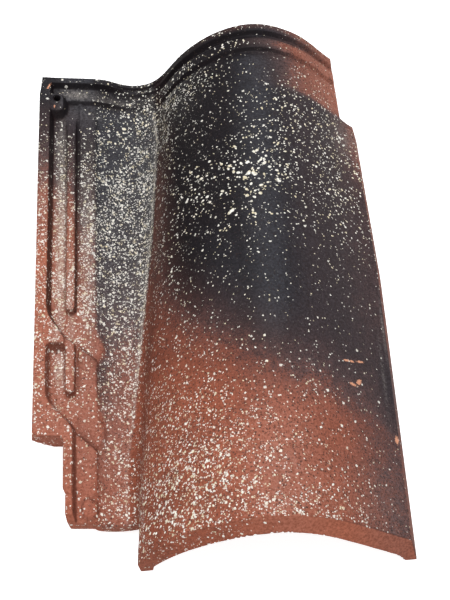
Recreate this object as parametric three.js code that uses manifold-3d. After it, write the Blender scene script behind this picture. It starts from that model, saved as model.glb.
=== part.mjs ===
// Interlocking clay roof tile: a flat water pan beside a tapering cover roll.
// X runs across the tile, Y runs up the slope from tail to head, Z is up.
// The tile lies unheld on a floor at Z = 0, on its tail rib, its nib and the foot of its roll.
import * as THREE from 'three';
import { mergeVertices } from 'three/addons/utils/BufferGeometryUtils.js';
import Module from 'manifold-3d';

const wasm = await Module();
wasm.setup();

// ---- driving dimensions, in millimetres and degrees ----
const tileLength = 468;
const rollReach = 280; // from the top edge of the rim to the foot of the roll
const wall = 11.5;
const plateWall = 12.4;
const tailThickening = 1.5; // of the wall at the tail face, gone at the tail edge of the pan

// side lock along the left edge: rim, water groove, rib and shelf on one sloping plate
const lockSlope = 13.5;
const lockRimHeight = 49.5;
const rimRise = 9.5;
const rimWidth = 7.2;
const rimDraft = 3.6;
const grooveWidth = 15.8;
const ribRise = 7.5;
const ribWidth = 7.3;
const ribDraft = 0.9;
const ribRampLength = 26;
const shelfGap = 3.1;
const shelfWidth = 15;
const shelfRise = 3;
const shelfFoot = 3;

// the two weirs that turn the water of the groove into the pan
const upperWeirTop = 229;
const lowerWeirTop = 150;
const weirDrop = 37;
const weirBend = 18;
const weirFootBend = 12.6;
const weirLip = 1.4;
const ribRunIn = 5.5;
const lowerRibRunIn = 2;
const outletSetback = 30.5;
const outletLean = 5.8;
const outletWidth = 13;
const spoutReach = 4.5;
const spoutRun = 26;
const spoutDraft = 2.5;
const spoutSink = 0.05;
const shelfLean = 0.9;
const pocketRadius = 4;

// stepped outline
const leftNotchLength = 109.5;
const leftNotchWidth = 23;
const leftNotchRadius = 4;
const headCornerLength = 18;
const headCornerLean = 2;
const panSetback = 41;
const panEdgeLean = 0.6;
const panEdgeRound = 2.4;
const rollCutX = 78.5;
const rollFootLift = 27.5;
const rollFootReach = 100;
const rightNotchLength = 69;
const rightNotchX = 262.2;
const rightNotchSlant = 31;
const rightNotchDraft = 2;

// tail end of the rim
const rimStepLength = 21;
const rimStepDrop = 1.2;
const rimStepInset = 1.6;
const rimStepRun = 4;
const rimEndBevel = 4;

// edges of the underside and foot of the roll
const edgeSide = 10.5;
const edgeChamferRun = 14;
const underJoin = 3.5; // from the end of the flat underside to the start of the pan's
const footWidth = 8.5;
const footLean = 2.5;
const footHeight = 19;
const edgeTaper = 8;
const edgeTaperStart = 245;
const tailFaceLean = 8;
const tailLeanRun = 45;

// head lock, measured back from the head edge
const stepRun = 2.5;
const plateLipWidth = 6;
const terraceWidth = 13.5;
const terraceRise = 3.6;
const panLipWidth = 3.5;
const panLipRise = 4.5;
const panTerraceWidth = 4;
const panTerraceRise = 2.2;
const panGrooveRise = 0.2;
const panRidgeWidth = 7;
const panRidgeRise = 1.4;
const rollLipWidth = 7.5;
const rollGrooveWidth = 3;
const rollGrooveDepth = 3.2;
const rollRidgeWidth = 10;
const rollValleyWidth = 2;
const rollValleyDepth = 2.6;
const overlapLength = 66.5;
const overlapStep = 0.8;

// nail boss
const bossX = 13.2;
const bossSetback = 23;
const bossRadius = 5.6;
const bossTail = 9;
const bossRise = 8.5;
const bossDraft = 4.5;
const nailHole = 6.5;

// underside
const nibX = 42;
const nibWidth = 32;
const nibLength = 14;
const nibSetback = 22;
const nibFaceHeight = 10;
const nibRoot = 2;
const tailRibStart = 50;
const tailRibLength = 22;
const tailRibWidth = 9;
const tailRibSetback = 14;
const tailRibHeight = 14;

// section of the top face at the tail and at the head, across the tile
const tailSection = {
  plateEnd: 44.5,
  panStart: [50.5, 23],
  panSlope: -30,
  trough: [66, 19.4],
  flank: [80, 43],
  flankSlope: 50,
  crest: [180, 89],
  shoulder: [240, 58.5],
  shoulderSlope: -45,
  browSlope: -46,
};
const headSection = {
  plateEnd: 46.5,
  panStart: [52, 26.4],
  panSlope: -24,
  trough: [86, 17],
  flank: [122.4, 48.2],
  flankSlope: 48,
  crest: [189.8, 83.6],
  shoulder: [232, 63.4],
  shoulderSlope: -42,
  browSlope: -6,
};

const radians = THREE.MathUtils.degToRad;
const { lerp, smoothstep } = THREE.MathUtils;
const point = (x, z) => new THREE.Vector2(x, z);
const lockCos = Math.cos(radians(lockSlope));
const lockSin = Math.sin(radians(lockSlope));
const lockTan = Math.tan(radians(lockSlope));
const plateHeight = lockRimHeight - rimRise / lockCos;
const rimOuter = -rimRise * lockTan;
const sideOverhang = (edgeSide - rimRise) * lockSin - rimOuter * lockCos;
const sideSpare = 0.8; // trimmed off by sideCut
const beyond = 40;
const above = 120;

// ---- solids ----

function solid(geometry) {
  const bare = geometry.clone();
  bare.deleteAttribute('normal');
  bare.deleteAttribute('uv');
  const merged = mergeVertices(bare, 1e-4);
  return new wasm.Manifold(new wasm.Mesh({
    numProp: 3,
    vertProperties: new Float32Array(merged.attributes.position.array),
    triVerts: new Uint32Array(merged.index.array),
  }));
}

function geometryOf(body) {
  const mesh = body.getMesh();
  const geometry = new THREE.BufferGeometry();
  geometry.setAttribute('position', new THREE.BufferAttribute(new Float32Array(mesh.vertProperties), 3));
  geometry.setIndex(new THREE.BufferAttribute(new Uint32Array(mesh.triVerts), 1));
  geometry.computeVertexNormals();
  return geometry;
}

// A block between two corners.
function block(low, high) {
  const size = high.map((value, axis) => value - low[axis]);
  const geometry = new THREE.BoxGeometry(...size);
  geometry.translate(...low.map((value, axis) => value + size[axis] / 2));
  return solid(geometry);
}

// An outline seen from above, as a prism through the whole height.
function planPrism(shape) {
  const geometry = new THREE.ExtrudeGeometry(shape, {
    depth: beyond + above,
    bevelEnabled: false,
    curveSegments: 6,
  });
  geometry.translate(0, 0, -beyond);
  return solid(geometry);
}

// An outline seen from the right side, as a prism between two places across the tile.
function sidePrism(places, from, to) {
  const shape = new THREE.Shape(places.map(([y, z]) => point(y, z)));
  const geometry = new THREE.ExtrudeGeometry(shape, { depth: to - from, bevelEnabled: false });
  geometry.rotateX(Math.PI / 2);
  geometry.rotateZ(Math.PI / 2);
  geometry.translate(from, 0, 0);
  return solid(geometry);
}

// An outline seen from the tail, as a prism between two places up the slope.
function sectionPrism(shape, from, to) {
  const geometry = new THREE.ExtrudeGeometry(shape, { depth: to - from, bevelEnabled: false });
  geometry.rotateX(Math.PI / 2);
  geometry.translate(0, to, 0);
  return solid(geometry);
}

// ---- the bent plate that makes pan and roll ----

function bezier(from, fromSlope, to, toSlope, fromPull, toPull) {
  const reach = from.distanceTo(to);
  const start = point(Math.cos(radians(fromSlope)), Math.sin(radians(fromSlope)));
  const end = point(Math.cos(radians(toSlope)), Math.sin(radians(toSlope)));
  return new THREE.CubicBezierCurve(
    from,
    from.clone().addScaledVector(start, reach * fromPull),
    to.clone().addScaledVector(end, -reach * toPull),
    to,
  );
}

const plateSteps = 2;
const panSteps = 6;
const coveSteps = 10;
const riseSteps = 20;
const fallSteps = 13;
const flankSteps = 9;
const plateEndIndex = plateSteps;
const panIndex = plateSteps + 1;
const troughIndex = panIndex + panSteps;
const flankIndex = troughIndex + coveSteps;
const browIndex = flankIndex + riseSteps + fallSteps + flankSteps;
const footIndex = browIndex + 1;

function footX(y) {
  const share = Math.max(0, y - edgeTaperStart) / (tileLength - edgeTaperStart);
  return rollReach - edgeTaper * share;
}

// Points of the plain top face across the tile at one station, from the left edge to the foot.
function topFace(y) {
  const share = y / tileLength;
  const value = (name) => lerp(tailSection[name], headSection[name], share);
  const place = (name) => point(...tailSection[name]).lerp(point(...headSection[name]), share);
  const left = point(-sideOverhang - sideSpare, plateHeight + (sideOverhang + sideSpare) * lockTan);
  const plateEnd = point(value('plateEnd'), plateHeight - value('plateEnd') * lockTan);
  const panStart = place('panStart');
  const trough = place('trough');
  const flank = place('flank');
  const crest = place('crest');
  const shoulder = place('shoulder');
  const foot = point(footX(y), 0);
  const brow = point(foot.x - footLean, footHeight);
  const spans = [
    [new THREE.LineCurve(left, plateEnd), plateSteps],
    [new THREE.LineCurve(plateEnd, panStart), 1],
    [bezier(panStart, value('panSlope'), trough, 0, 0.35, 0.4), panSteps],
    [bezier(trough, 0, flank, value('flankSlope'), 0.4, 0.35), coveSteps],
    [bezier(flank, value('flankSlope'), crest, 0, 0.3, 0.36), riseSteps],
    [bezier(crest, 0, shoulder, value('shoulderSlope'), 0.36, 0.3), fallSteps],
    [bezier(shoulder, value('shoulderSlope'), brow, value('browSlope'), 0.35, 0.2), flankSteps],
    [new THREE.LineCurve(brow, foot), 1],
  ];
  const points = [left];
  for (const [curve, steps] of spans) {
    points.push(...curve.getPoints(steps).slice(1));
  }
  return points;
}

function normalAt(points, index) {
  const before = points[Math.max(index - 1, panIndex)];
  const after = points[Math.min(index + 1, browIndex)];
  return point(before.y - after.y, after.x - before.x).normalize();
}

// Points of the underside, one for each point of the top face.
function underside(top, y) {
  const foot = top[footIndex];
  const thickness = wall + tailThickening * Math.max(0, 1 - y / panSetback);
  const underPlate = (x) => point(x, plateHeight - x * lockTan - plateWall);
  const inner = top.map((place, index) => place.clone().addScaledVector(normalAt(top, index), -thickness));
  for (let index = 0; index < plateEndIndex; index += 1) {
    inner[index] = underPlate(top[index].x);
  }
  inner[plateEndIndex] = underPlate(inner[panIndex].x - underJoin);
  inner[footIndex] = point(foot.x - footWidth, 0);
  inner[browIndex] = inner[browIndex - 1].clone().lerp(inner[footIndex], 0.5);
  return inner;
}

// ---- head lock: how far the top face stands above its plain section near the head ----

// Runs of [length, height at its end] become places of [distance from the head edge, height].
function lockProfile(runs) {
  let distance = 0;
  return runs.map(([length, rise]) => {
    distance += length;
    return [distance, rise];
  });
}

const headLock = {
  plate: lockProfile([
    [0, rimRise],
    [plateLipWidth, rimRise],
    [stepRun, terraceRise],
    [terraceWidth, terraceRise],
    [stepRun, 0],
  ]),
  pan: lockProfile([
    [0, panLipRise],
    [panLipWidth, panLipRise],
    [stepRun / 2, panTerraceRise],
    [panTerraceWidth, panTerraceRise],
    [stepRun, panGrooveRise],
    [stepRun, panGrooveRise],
    [stepRun, panRidgeRise],
    [panRidgeWidth, panRidgeRise],
    [stepRun, 0],
  ]),
  roll: lockProfile([
    [0, 0],
    [rollLipWidth, 0],
    [stepRun, -rollGrooveDepth],
    [rollGrooveWidth, -rollGrooveDepth],
    [stepRun * 1.5, 0],
    [rollRidgeWidth, 0],
    [stepRun, -rollValleyDepth],
    [rollValleyWidth, -rollValleyDepth],
    [stepRun * 2, -overlapStep],
  ]),
};
headLock.roll.push([overlapLength, -overlapStep], [overlapLength + stepRun, 0]);

function riseAt(profile, distance) {
  const next = profile.findIndex(([reach]) => reach >= distance);
  if (next < 0) return 0;
  const [farReach, farRise] = profile[next];
  const [nearReach, nearRise] = profile[Math.max(next - 1, 0)];
  const share = farReach > nearReach ? (distance - nearReach) / (farReach - nearReach) : 1;
  return lerp(nearRise, farRise, share);
}

// The tail edge of plate and pan is rounded over.
function tailEase(y) {
  const share = THREE.MathUtils.clamp((y - panSetback) / (panEdgeRound * 2), 0, 1);
  return -panEdgeRound * (1 - share) ** 2;
}

function withRelief(top, y) {
  const plateRise = riseAt(headLock.plate, tileLength - y) + tailEase(y);
  const panRise = riseAt(headLock.pan, tileLength - y) + tailEase(y);
  const rollRise = riseAt(headLock.roll, tileLength - y);
  return top.map((place, index) => {
    const inPan = smoothstep(index, plateEndIndex, troughIndex);
    const onRoll = smoothstep(index, troughIndex, flankIndex);
    const rise = lerp(lerp(plateRise, panRise, inPan), rollRise, onRoll);
    const normal = index < panIndex ? point(0, 1) : normalAt(top, index);
    return index > browIndex ? place : place.clone().addScaledVector(normal, rise);
  });
}

// The tail face of the roll leans back at its top, and stands square at its two feet.
function leanAt(place) {
  const fromLeft = smoothstep(place.x, rollCutX, rollCutX + tailLeanRun);
  return tailFaceLean * fromLeft * Math.min(1, place.y / footHeight);
}

// The plate is lofted through rings: the top face from left to right and the underside back.
function bentPlate() {
  const tenth = (value) => Math.round(value * 10) / 10;
  const lockStops = Object.values(headLock).flat().map(([distance]) => tileLength - tenth(distance));
  const easeStops = [0, 0.5, 1, 1.5, 2].map((share) => panSetback + panEdgeRound * share);
  const plainStops = [0, 80, 145, edgeTaperStart, (edgeTaperStart + tileLength - overlapLength) / 2];
  const stations = [...new Set([...lockStops, ...easeStops, ...plainStops])].sort((a, b) => a - b);
  const rings = stations.map((y) => {
    const top = topFace(y);
    return [
      ...withRelief(top, y).map((place) => [place.x, y + (y === 0 ? leanAt(place) : 0), place.y]),
      ...underside(top, y).map((place) => [place.x, y, place.y]).reverse(),
    ];
  });
  const ringSize = rings[0].length;
  const triangles = [];
  for (let near = 0; near < (rings.length - 1) * ringSize; near += ringSize) {
    const far = near + ringSize;
    for (let index = 0; index < ringSize; index += 1) {
      const next = (index + 1) % ringSize;
      triangles.push(near + index, far + next, far + index, near + index, near + next, far + next);
    }
  }
  const headRing = (rings.length - 1) * ringSize;
  for (let index = 0; index < footIndex; index += 1) {
    const below = ringSize - 1 - index;
    triangles.push(index, below - 1, index + 1, index, below, below - 1);
    triangles.push(headRing + index, headRing + index + 1, headRing + below - 1);
    triangles.push(headRing + index, headRing + below - 1, headRing + below);
  }
  const geometry = new THREE.BufferGeometry();
  geometry.setAttribute('position', new THREE.Float32BufferAttribute(rings.flat(2), 3));
  geometry.setIndex(triangles);
  return solid(geometry);
}

// ---- side lock, drawn on the sloping plate: u across, v up the slope, h above the plate ----

const ribStart = rimWidth + grooveWidth;
const ribEnd = ribStart + ribWidth;
const weirEnd = ribStart - weirLip;
const tailRimInner = ribEnd - weirLip;
const shelfStart = ribEnd + shelfGap;
const shelfEnd = shelfStart + shelfWidth;
const lockHeadEnd = tileLength - plateLipWidth - terraceWidth - stepRun * 2;

const lockToTile = new THREE.Matrix4()
  .makeRotationY(radians(lockSlope))
  .setPosition(0, 0, plateHeight);

function onLock(body) {
  return body.transform(lockToTile.toArray());
}

// A plan outline raised from the plate with drafted sides.
function raised(shape, rise, draft) {
  const sunk = 5;
  const seat = 0.8;
  const geometry = new THREE.ExtrudeGeometry(shape, {
    depth: sunk - seat,
    bevelThickness: rise + seat,
    bevelSize: draft,
    bevelSegments: 1,
    curveSegments: 8,
  });
  geometry.translate(0, 0, -sunk);
  const under = block([-beyond, -beyond, -beyond], [rollReach, tileLength * 2, seat - sunk]);
  return solid(geometry).subtract(under);
}

// The rim's inner edge swings from the rim to the rib in an S, which makes a weir.
function swing(shape, innerU, top) {
  shape.bezierCurveTo(innerU, top - weirDrop + weirFootBend, rimWidth, top - weirBend, rimWidth, top);
}

function rim() {
  const upperEnd = upperWeirTop - weirDrop;
  const lowerEnd = lowerWeirTop - weirDrop;
  const shape = new THREE.Shape([
    point(rimOuter, panSetback),
    point(tailRimInner, panSetback),
    point(tailRimInner, lowerEnd),
  ]);
  swing(shape, tailRimInner, lowerWeirTop);
  shape.lineTo(rimWidth, upperEnd - pocketRadius);
  shape.quadraticCurveTo(rimWidth, upperEnd, rimWidth + pocketRadius, upperEnd);
  shape.lineTo(weirEnd, upperEnd);
  shape.lineTo(weirEnd, upperEnd + weirLip);
  swing(shape, weirEnd, upperWeirTop);
  shape.lineTo(rimWidth, tileLength);
  shape.lineTo(rimOuter, tileLength);
  const end = panSetback + panEdgeLean;
  const stepTop = rimRise - rimStepDrop;
  const stepEnd = panSetback + rimStepLength;
  return raised(shape, rimRise, rimDraft)
    .subtract(sidePrism([
      [end - beyond, -1],
      [end, 1],
      [end + rimEndBevel, stepTop],
      [stepEnd, stepTop],
      [stepEnd + rimStepRun, rimRise],
      [stepEnd + rimStepRun, beyond],
      [end - beyond, beyond],
    ], -beyond, ribEnd + rimDraft));
}

// A straight rib with a leaning start at its head end and a rounded nose at its tail end.
function lockRib(high, low, lean) {
  const radius = ribWidth / 2;
  const shape = new THREE.Shape();
  shape.moveTo(ribStart, high);
  shape.lineTo(ribStart, low + radius);
  shape.absarc(ribStart + radius, low + radius, radius, Math.PI, Math.PI * 2, false);
  shape.lineTo(ribEnd, high - lean);
  return raised(shape, ribRise, ribDraft);
}

// The first rib grows out of the plate below the head lock.
function headRib() {
  const high = lockHeadEnd - ribRampLength / 2;
  return lockRib(high, upperWeirTop - ribRunIn, 0).subtract(sidePrism([
    [high - ribRampLength, ribRise],
    [high, 0],
    [high + beyond, 0],
    [high + beyond, beyond],
    [high - ribRampLength, beyond],
  ], ribStart - beyond, ribEnd + beyond));
}

// A shelf beside the pan that falls from full height at its start to the plate at its end.
function shelf(high, low) {
  const across = new THREE.Shape([
    point(low, -shelfFoot),
    point(high, -shelfFoot),
    point(high, shelfRise),
    point(low, 0),
  ]);
  const geometry = new THREE.ExtrudeGeometry(across, { depth: shelfWidth, bevelEnabled: false });
  const place = geometry.attributes.position;
  const middle = (high + low) / 2;
  for (let index = 0; index < place.count; index += 1) {
    const v = place.getX(index);
    const along = place.getZ(index);
    const shift = v > middle ? -shelfLean * along : 0;
    place.setXYZ(index, shelfStart + along, v + shift, place.getY(index));
  }
  return solid(geometry);
}

// Where a weir spills over the shelf, the plate reaches a little further into the pan.
function spout(outlet) {
  const root = shelfEnd - spoutReach;
  const shape = new THREE.Shape();
  shape.moveTo(root, outlet - outletWidth);
  shape.quadraticCurveTo(shelfEnd, outlet - outletWidth, shelfEnd + spoutReach, outlet - spoutReach);
  shape.lineTo(shelfEnd + spoutReach, outlet + spoutReach);
  shape.quadraticCurveTo(shelfEnd, outlet + outletWidth, root, outlet + spoutRun);
  const tongue = raised(shape, spoutDraft, spoutDraft);
  const sunk = new THREE.Matrix4().makeTranslation(0, 0, -spoutDraft - spoutSink);
  return tongue.transform(sunk.toArray());
}

function sideLock() {
  const upperOutlet = upperWeirTop - outletSetback;
  const lowerOutlet = lowerWeirTop - outletSetback;
  const pieces = [
    rim(),
    headRib(),
    lockRib(upperOutlet, lowerWeirTop - lowerRibRunIn, outletLean),
    shelf(lockHeadEnd, upperOutlet + outletWidth),
    shelf(upperOutlet - outletLean, lowerOutlet + outletWidth),
    shelf(lowerOutlet - outletLean, panSetback + panEdgeRound * 2),
    spout(upperOutlet - outletLean / 2),
    spout(lowerOutlet - outletLean / 2),
  ];
  return pieces.map(onLock).reduce((whole, piece) => whole.add(piece));
}

// The nail boss leans on the rim and runs out toward the tail.
function nailBoss() {
  const v = tileLength - bossSetback;
  const shape = new THREE.Shape();
  shape.absarc(bossX, v, bossRadius, 0, Math.PI, false);
  shape.absarc(bossX, v - bossTail, bossRadius, Math.PI, Math.PI * 2, false);
  return onLock(raised(shape, bossRise, bossDraft));
}

function nailBore() {
  const bore = new THREE.CylinderGeometry(nailHole / 2, nailHole / 2, beyond * 2, 24);
  bore.rotateX(Math.PI / 2);
  bore.translate(bossX, tileLength - bossSetback, 0);
  return onLock(solid(bore));
}

// ---- outline cuts ----

// The pan stops short of the roll at the tail, with a rounded end face.
function panCut() {
  const face = panSetback + panEdgeLean;
  return sidePrism([
    [-beyond, -beyond],
    [panSetback, -beyond],
    [panSetback, 0],
    [face, lockRimHeight],
    [face, above],
    [-beyond, above],
  ], -beyond, rollCutX);
}

// Below the pan's end the roll's left edge is lifted clear of the tile beneath.
function rollFootCut() {
  return block([-beyond, -beyond, -beyond], [rollFootReach, panSetback, rollFootLift]);
}

function leftNotch() {
  const shape = new THREE.Shape();
  shape.moveTo(-beyond, -beyond);
  shape.lineTo(leftNotchWidth + rimStepInset, -beyond);
  shape.lineTo(leftNotchWidth + rimStepInset, panSetback + rimStepLength);
  shape.lineTo(leftNotchWidth, panSetback + rimStepLength + rimStepRun);
  shape.lineTo(leftNotchWidth, leftNotchLength - leftNotchRadius);
  shape.quadraticCurveTo(
    leftNotchWidth, leftNotchLength,
    leftNotchWidth - leftNotchRadius, leftNotchLength,
  );
  shape.lineTo(-beyond, leftNotchLength);
  return planPrism(shape);
}

// The left side is square to the lock plate, with a chamfer under it.
function sideCut() {
  const edge = point(rimOuter, rimRise - edgeSide);
  const chamferEnd = point(edgeChamferRun, -plateWall * lockCos);
  const past = edge.clone().lerp(chamferEnd, 1.5);
  return onLock(sectionPrism(new THREE.Shape([
    point(-beyond, -beyond),
    point(past.x, -beyond),
    past,
    edge,
    point(rimOuter, beyond),
    point(-beyond, beyond),
  ]), -beyond, tileLength + beyond));
}

// The left head corner draws in a little.
function headCorner() {
  return planPrism(new THREE.Shape([
    point(0, tileLength - headCornerLength),
    point(headCornerLean, tileLength + 1),
    point(-beyond, tileLength + 1),
    point(-beyond, tileLength - headCornerLength),
  ]));
}

// The head corner on the roll side is cut away where four tiles meet.
function rightNotch() {
  const start = tileLength - rightNotchLength;
  const outside = rollReach + beyond;
  const fall = (outside - rightNotchX) * Math.tan(radians(rightNotchSlant));
  return planPrism(new THREE.Shape([
    point(rightNotchX, start),
    point(outside, start - fall),
    point(outside, tileLength + beyond),
    point(rightNotchX - rightNotchDraft, tileLength + beyond),
    point(rightNotchX - rightNotchDraft, tileLength - plateLipWidth),
  ]));
}

// ---- underside ----

// The nib that hooks over the batten, with a rooted face toward the tail.
function nib() {
  const left = nibX - nibWidth / 2;
  const right = nibX + nibWidth / 2;
  const face = tileLength - nibSetback - nibLength;
  const insidePlate = (x) => point(x, plateHeight - x * lockTan - plateWall / 2);
  const side = sidePrism([
    [face, 0],
    [face + nibLength, 0],
    [face + nibLength, lockRimHeight],
    [face - nibRoot, lockRimHeight],
    [face - nibRoot, nibFaceHeight + nibRoot],
    [face, nibFaceHeight],
  ], left, right);
  const section = new THREE.Shape([point(left, 0), point(right, 0), insidePlate(right), insidePlate(left)]);
  return side.intersect(sectionPrism(section, face - beyond, face + beyond));
}

function tailRib() {
  const y = panSetback + tailRibSetback;
  return block([tailRibStart, y, 0], [tailRibStart + tailRibLength, y + tailRibWidth, tailRibHeight]);
}

function roofTile() {
  return bentPlate()
    .add(sideLock())
    .add(nailBoss())
    .add(nib())
    .add(tailRib())
    .subtract(nailBore())
    .subtract(panCut())
    .subtract(rollFootCut())
    .subtract(leftNotch())
    .subtract(sideCut())
    .subtract(headCorner())
    .subtract(rightNotch())
    .intersect(block([-beyond, 0, 0], [rollReach, tileLength, above]));
}

const firedClay = new THREE.MeshStandardMaterial({ color: 0xa65a42, roughness: 0.72, metalness: 0 });

const group = new THREE.Group();
const tile = new THREE.Mesh(geometryOf(roofTile()), firedClay);
tile.name = 'roof_tile';
tile.position.set((sideOverhang - rollReach) / 2, -tileLength / 2, 0);
group.add(tile);

export default group;
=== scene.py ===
import math
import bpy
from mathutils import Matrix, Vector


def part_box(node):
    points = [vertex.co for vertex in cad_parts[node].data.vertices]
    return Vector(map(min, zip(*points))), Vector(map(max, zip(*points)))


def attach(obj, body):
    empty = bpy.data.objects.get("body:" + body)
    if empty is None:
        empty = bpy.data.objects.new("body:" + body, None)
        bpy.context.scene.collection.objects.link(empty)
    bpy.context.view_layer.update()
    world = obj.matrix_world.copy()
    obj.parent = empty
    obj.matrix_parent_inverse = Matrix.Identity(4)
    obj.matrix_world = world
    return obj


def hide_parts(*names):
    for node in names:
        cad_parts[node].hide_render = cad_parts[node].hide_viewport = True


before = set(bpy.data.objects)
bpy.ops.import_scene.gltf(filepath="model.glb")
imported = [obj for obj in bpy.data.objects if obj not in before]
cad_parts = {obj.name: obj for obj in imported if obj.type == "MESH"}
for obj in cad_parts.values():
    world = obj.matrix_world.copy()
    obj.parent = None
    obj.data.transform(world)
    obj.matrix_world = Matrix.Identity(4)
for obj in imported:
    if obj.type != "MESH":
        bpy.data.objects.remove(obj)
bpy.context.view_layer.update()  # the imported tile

from types import SimpleNamespace

import bmesh
import bpy
import numpy as np
from mathutils import Matrix, Vector, kdtree, noise

scene = bpy.context.scene
mm = 0.001


def addNode(tree, kind, inputs=None, **settings):
    node = tree.nodes.new(kind)
    for name, value in settings.items():
        setattr(node, name, value)
    for name, value in (inputs or {}).items():
        if isinstance(value, bpy.types.NodeSocket):
            tree.links.new(value, node.inputs[name])
        else:
            node.inputs[name].default_value = value
    return node


def maths(tree, operation, first, second, third=None, clamp=False):
    values = {0: first, 1: second}
    if third is not None:
        values[2] = third
    return addNode(tree, "ShaderNodeMath", values, operation=operation, use_clamp=clamp).outputs[0]


def vectorMaths(tree, operation, first, second):
    inputs = {0: first, 1: second}
    return addNode(tree, "ShaderNodeVectorMath", inputs, operation=operation).outputs[0]


def scaled(tree, vector, factor):
    inputs = {0: vector, "Scale": factor}
    return addNode(tree, "ShaderNodeVectorMath", inputs, operation="SCALE").outputs[0]


def mapped(tree, value, start, end, low, high):
    inputs = {0: value, 1: start, 2: end, 3: low, 4: high}
    return addNode(tree, "ShaderNodeMapRange", inputs, interpolation_type="SMOOTHSTEP").outputs[0]


def mixColour(tree, share, under, over):
    node = addNode(tree, "ShaderNodeMix", {0: share}, data_type="RGBA")
    for socket, colour in ((6, under), (7, over)):
        if isinstance(colour, bpy.types.NodeSocket):
            tree.links.new(colour, node.inputs[socket])
        else:
            node.inputs[socket].default_value = (*colour, 1)
    return node.outputs[2]


def noiseNode(tree, place, scale, detail, roughness=0.5):
    return addNode(tree, "ShaderNodeTexNoise", {
        "Vector": place, "Scale": scale, "Detail": detail, "Roughness": roughness})


# A tree that takes and gives geometry, with an input for each named size.
def geometryTree(name, sizes):
    kinds = {int: "NodeSocketInt", float: "NodeSocketFloat", tuple: "NodeSocketVector"}
    tree = bpy.data.node_groups.new(name, "GeometryNodeTree")
    tree.interface.new_socket("Geometry", in_out="INPUT", socket_type="NodeSocketGeometry")
    for size, value in sizes.items():
        tree.interface.new_socket(size, in_out="INPUT", socket_type=kinds[type(value)])
    tree.interface.new_socket("Geometry", in_out="OUTPUT", socket_type="NodeSocketGeometry")
    return tree


def addTree(piece, tree, sizes):
    modifier = piece.modifiers.new(tree.name, "NODES")
    modifier.node_group = tree
    for item in tree.interface.items_tree:
        if item.in_out == "INPUT" and item.name in sizes:
            modifier[item.identifier] = sizes[item.name]


def linkMesh(name, mesh):
    piece = bpy.data.objects.new(name, mesh)
    scene.collection.objects.link(piece)
    return piece


# The mesh that a piece's modifiers make. The piece itself goes.
def finishedMesh(piece):
    graph = bpy.context.evaluated_depsgraph_get()
    mesh = bpy.data.meshes.new_from_object(piece.evaluated_get(graph))
    bpy.data.objects.remove(piece)
    return mesh


def vertexPlaces(mesh):
    places = np.empty(len(mesh.vertices) * 3, np.float32)
    mesh.vertices.foreach_get("co", places)
    return places.reshape(-1, 3)


def movePoints(mesh, places):
    mesh.vertices.foreach_set("co", places.astype(np.float32).ravel())
    mesh.update()


def vertexNormals(mesh):
    normals = np.empty(len(mesh.vertices) * 3, np.float32)
    mesh.vertices.foreach_get("normal", normals)
    return normals.reshape(-1, 3)


# Both ends of every edge, each way round, and how many edges meet at each point.
def edgeEnds(mesh):
    edges = np.empty(len(mesh.edges) * 2, np.int32)
    mesh.edges.foreach_get("vertices", edges)
    first, second = edges.reshape(-1, 2).T
    ends = np.concatenate([first, second])
    others = np.concatenate([second, first])
    count = np.bincount(ends, minlength=len(mesh.vertices))
    return ends, others, count[:, None]


def neighbourMean(places, ends, others, count):
    sums = [np.bincount(ends, places[others, axis], len(places)) for axis in range(3)]
    return np.stack(sums, 1) / count


# from 0 at start to 1 at end, smoothly
def ramp(value, start, end):
    share = np.clip((value - start) / (end - start), 0, 1)
    return share * share * (3 - 2 * share)


# rises from start to full, and falls from fading to end
def band(value, start, full, fading, end):
    return ramp(value, start, full) * (1 - ramp(value, fading, end))


# 1 on a line, falling away evenly on both sides
def bell(gap, reach):
    return np.exp(-(gap / reach) ** 2)


# 1 on a line, fading over one reach before it and over another after it
def beside(gap, before, after):
    return np.exp(np.minimum(gap, 0) / before) * np.exp(-np.maximum(gap, 0) / after)


view = {
    "lens": 84.25,
    "sensor": 36.0,
    "place": (0.10507, -0.60982, 0.99168),
    "target": (0.01477, -0.01675, 0.04),
    "roll": 13.66,  # degrees, clockwise as the camera sees it
    "nearest": 0.05,  # metres, of what is drawn
    "farthest": 30,
}


def makeCamera():
    data = bpy.data.cameras.new("tileCamera")
    data.sensor_fit = "VERTICAL"
    data.sensor_height = view["sensor"]
    data.lens = view["lens"]
    data.clip_start = view["nearest"]
    data.clip_end = view["farthest"]
    camera = bpy.data.objects.new("tileCamera", data)
    scene.collection.objects.link(camera)
    place = Vector(view["place"])
    look = (Vector(view["target"]) - place).normalized()
    side = look.cross(Vector((0, 0, 1))).normalized()
    up = side.cross(look)
    turn = Matrix((side, up, -look)).transposed().to_4x4()
    roll = Matrix.Rotation(math.radians(-view["roll"]), 4, "Z")
    camera.matrix_world = Matrix.Translation(place) @ turn @ roll
    scene.camera = camera


studio = {
    "lights": {  # place, size in metres, power in watts
        "topLight": ((0.15, 0.35, 2.2), 1.6, 26.0),
        "backLight": ((0.55, 1.25, 1.8), 1.2, 12.0),
        "frontLight": ((0.0, -1.7, 1.3), 1.4, 10.0),
    },
    "worldLevel": 0.42,
    "floorSize": 6.0,
    "floorColour": (0.8, 0.8, 0.8),
    "floorGlow": 0.75,
}


def makeLights():
    for name, (place, size, power) in studio["lights"].items():
        data = bpy.data.lights.new(name, "AREA")
        data.shape = "DISK"
        data.size = size
        data.energy = power
        light = bpy.data.objects.new(name, data)
        aim = Vector(place).to_track_quat("Z", "Y").to_matrix().to_4x4()
        light.matrix_world = Matrix.Translation(place) @ aim
        scene.collection.objects.link(light)


# 1 for what is seen directly, 0 for what only lights the tile
def seenShare(tree):
    path = addNode(tree, "ShaderNodeLightPath").outputs
    return maths(tree, "MAXIMUM", path["Is Camera Ray"], path["Is Transmission Ray"])


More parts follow.
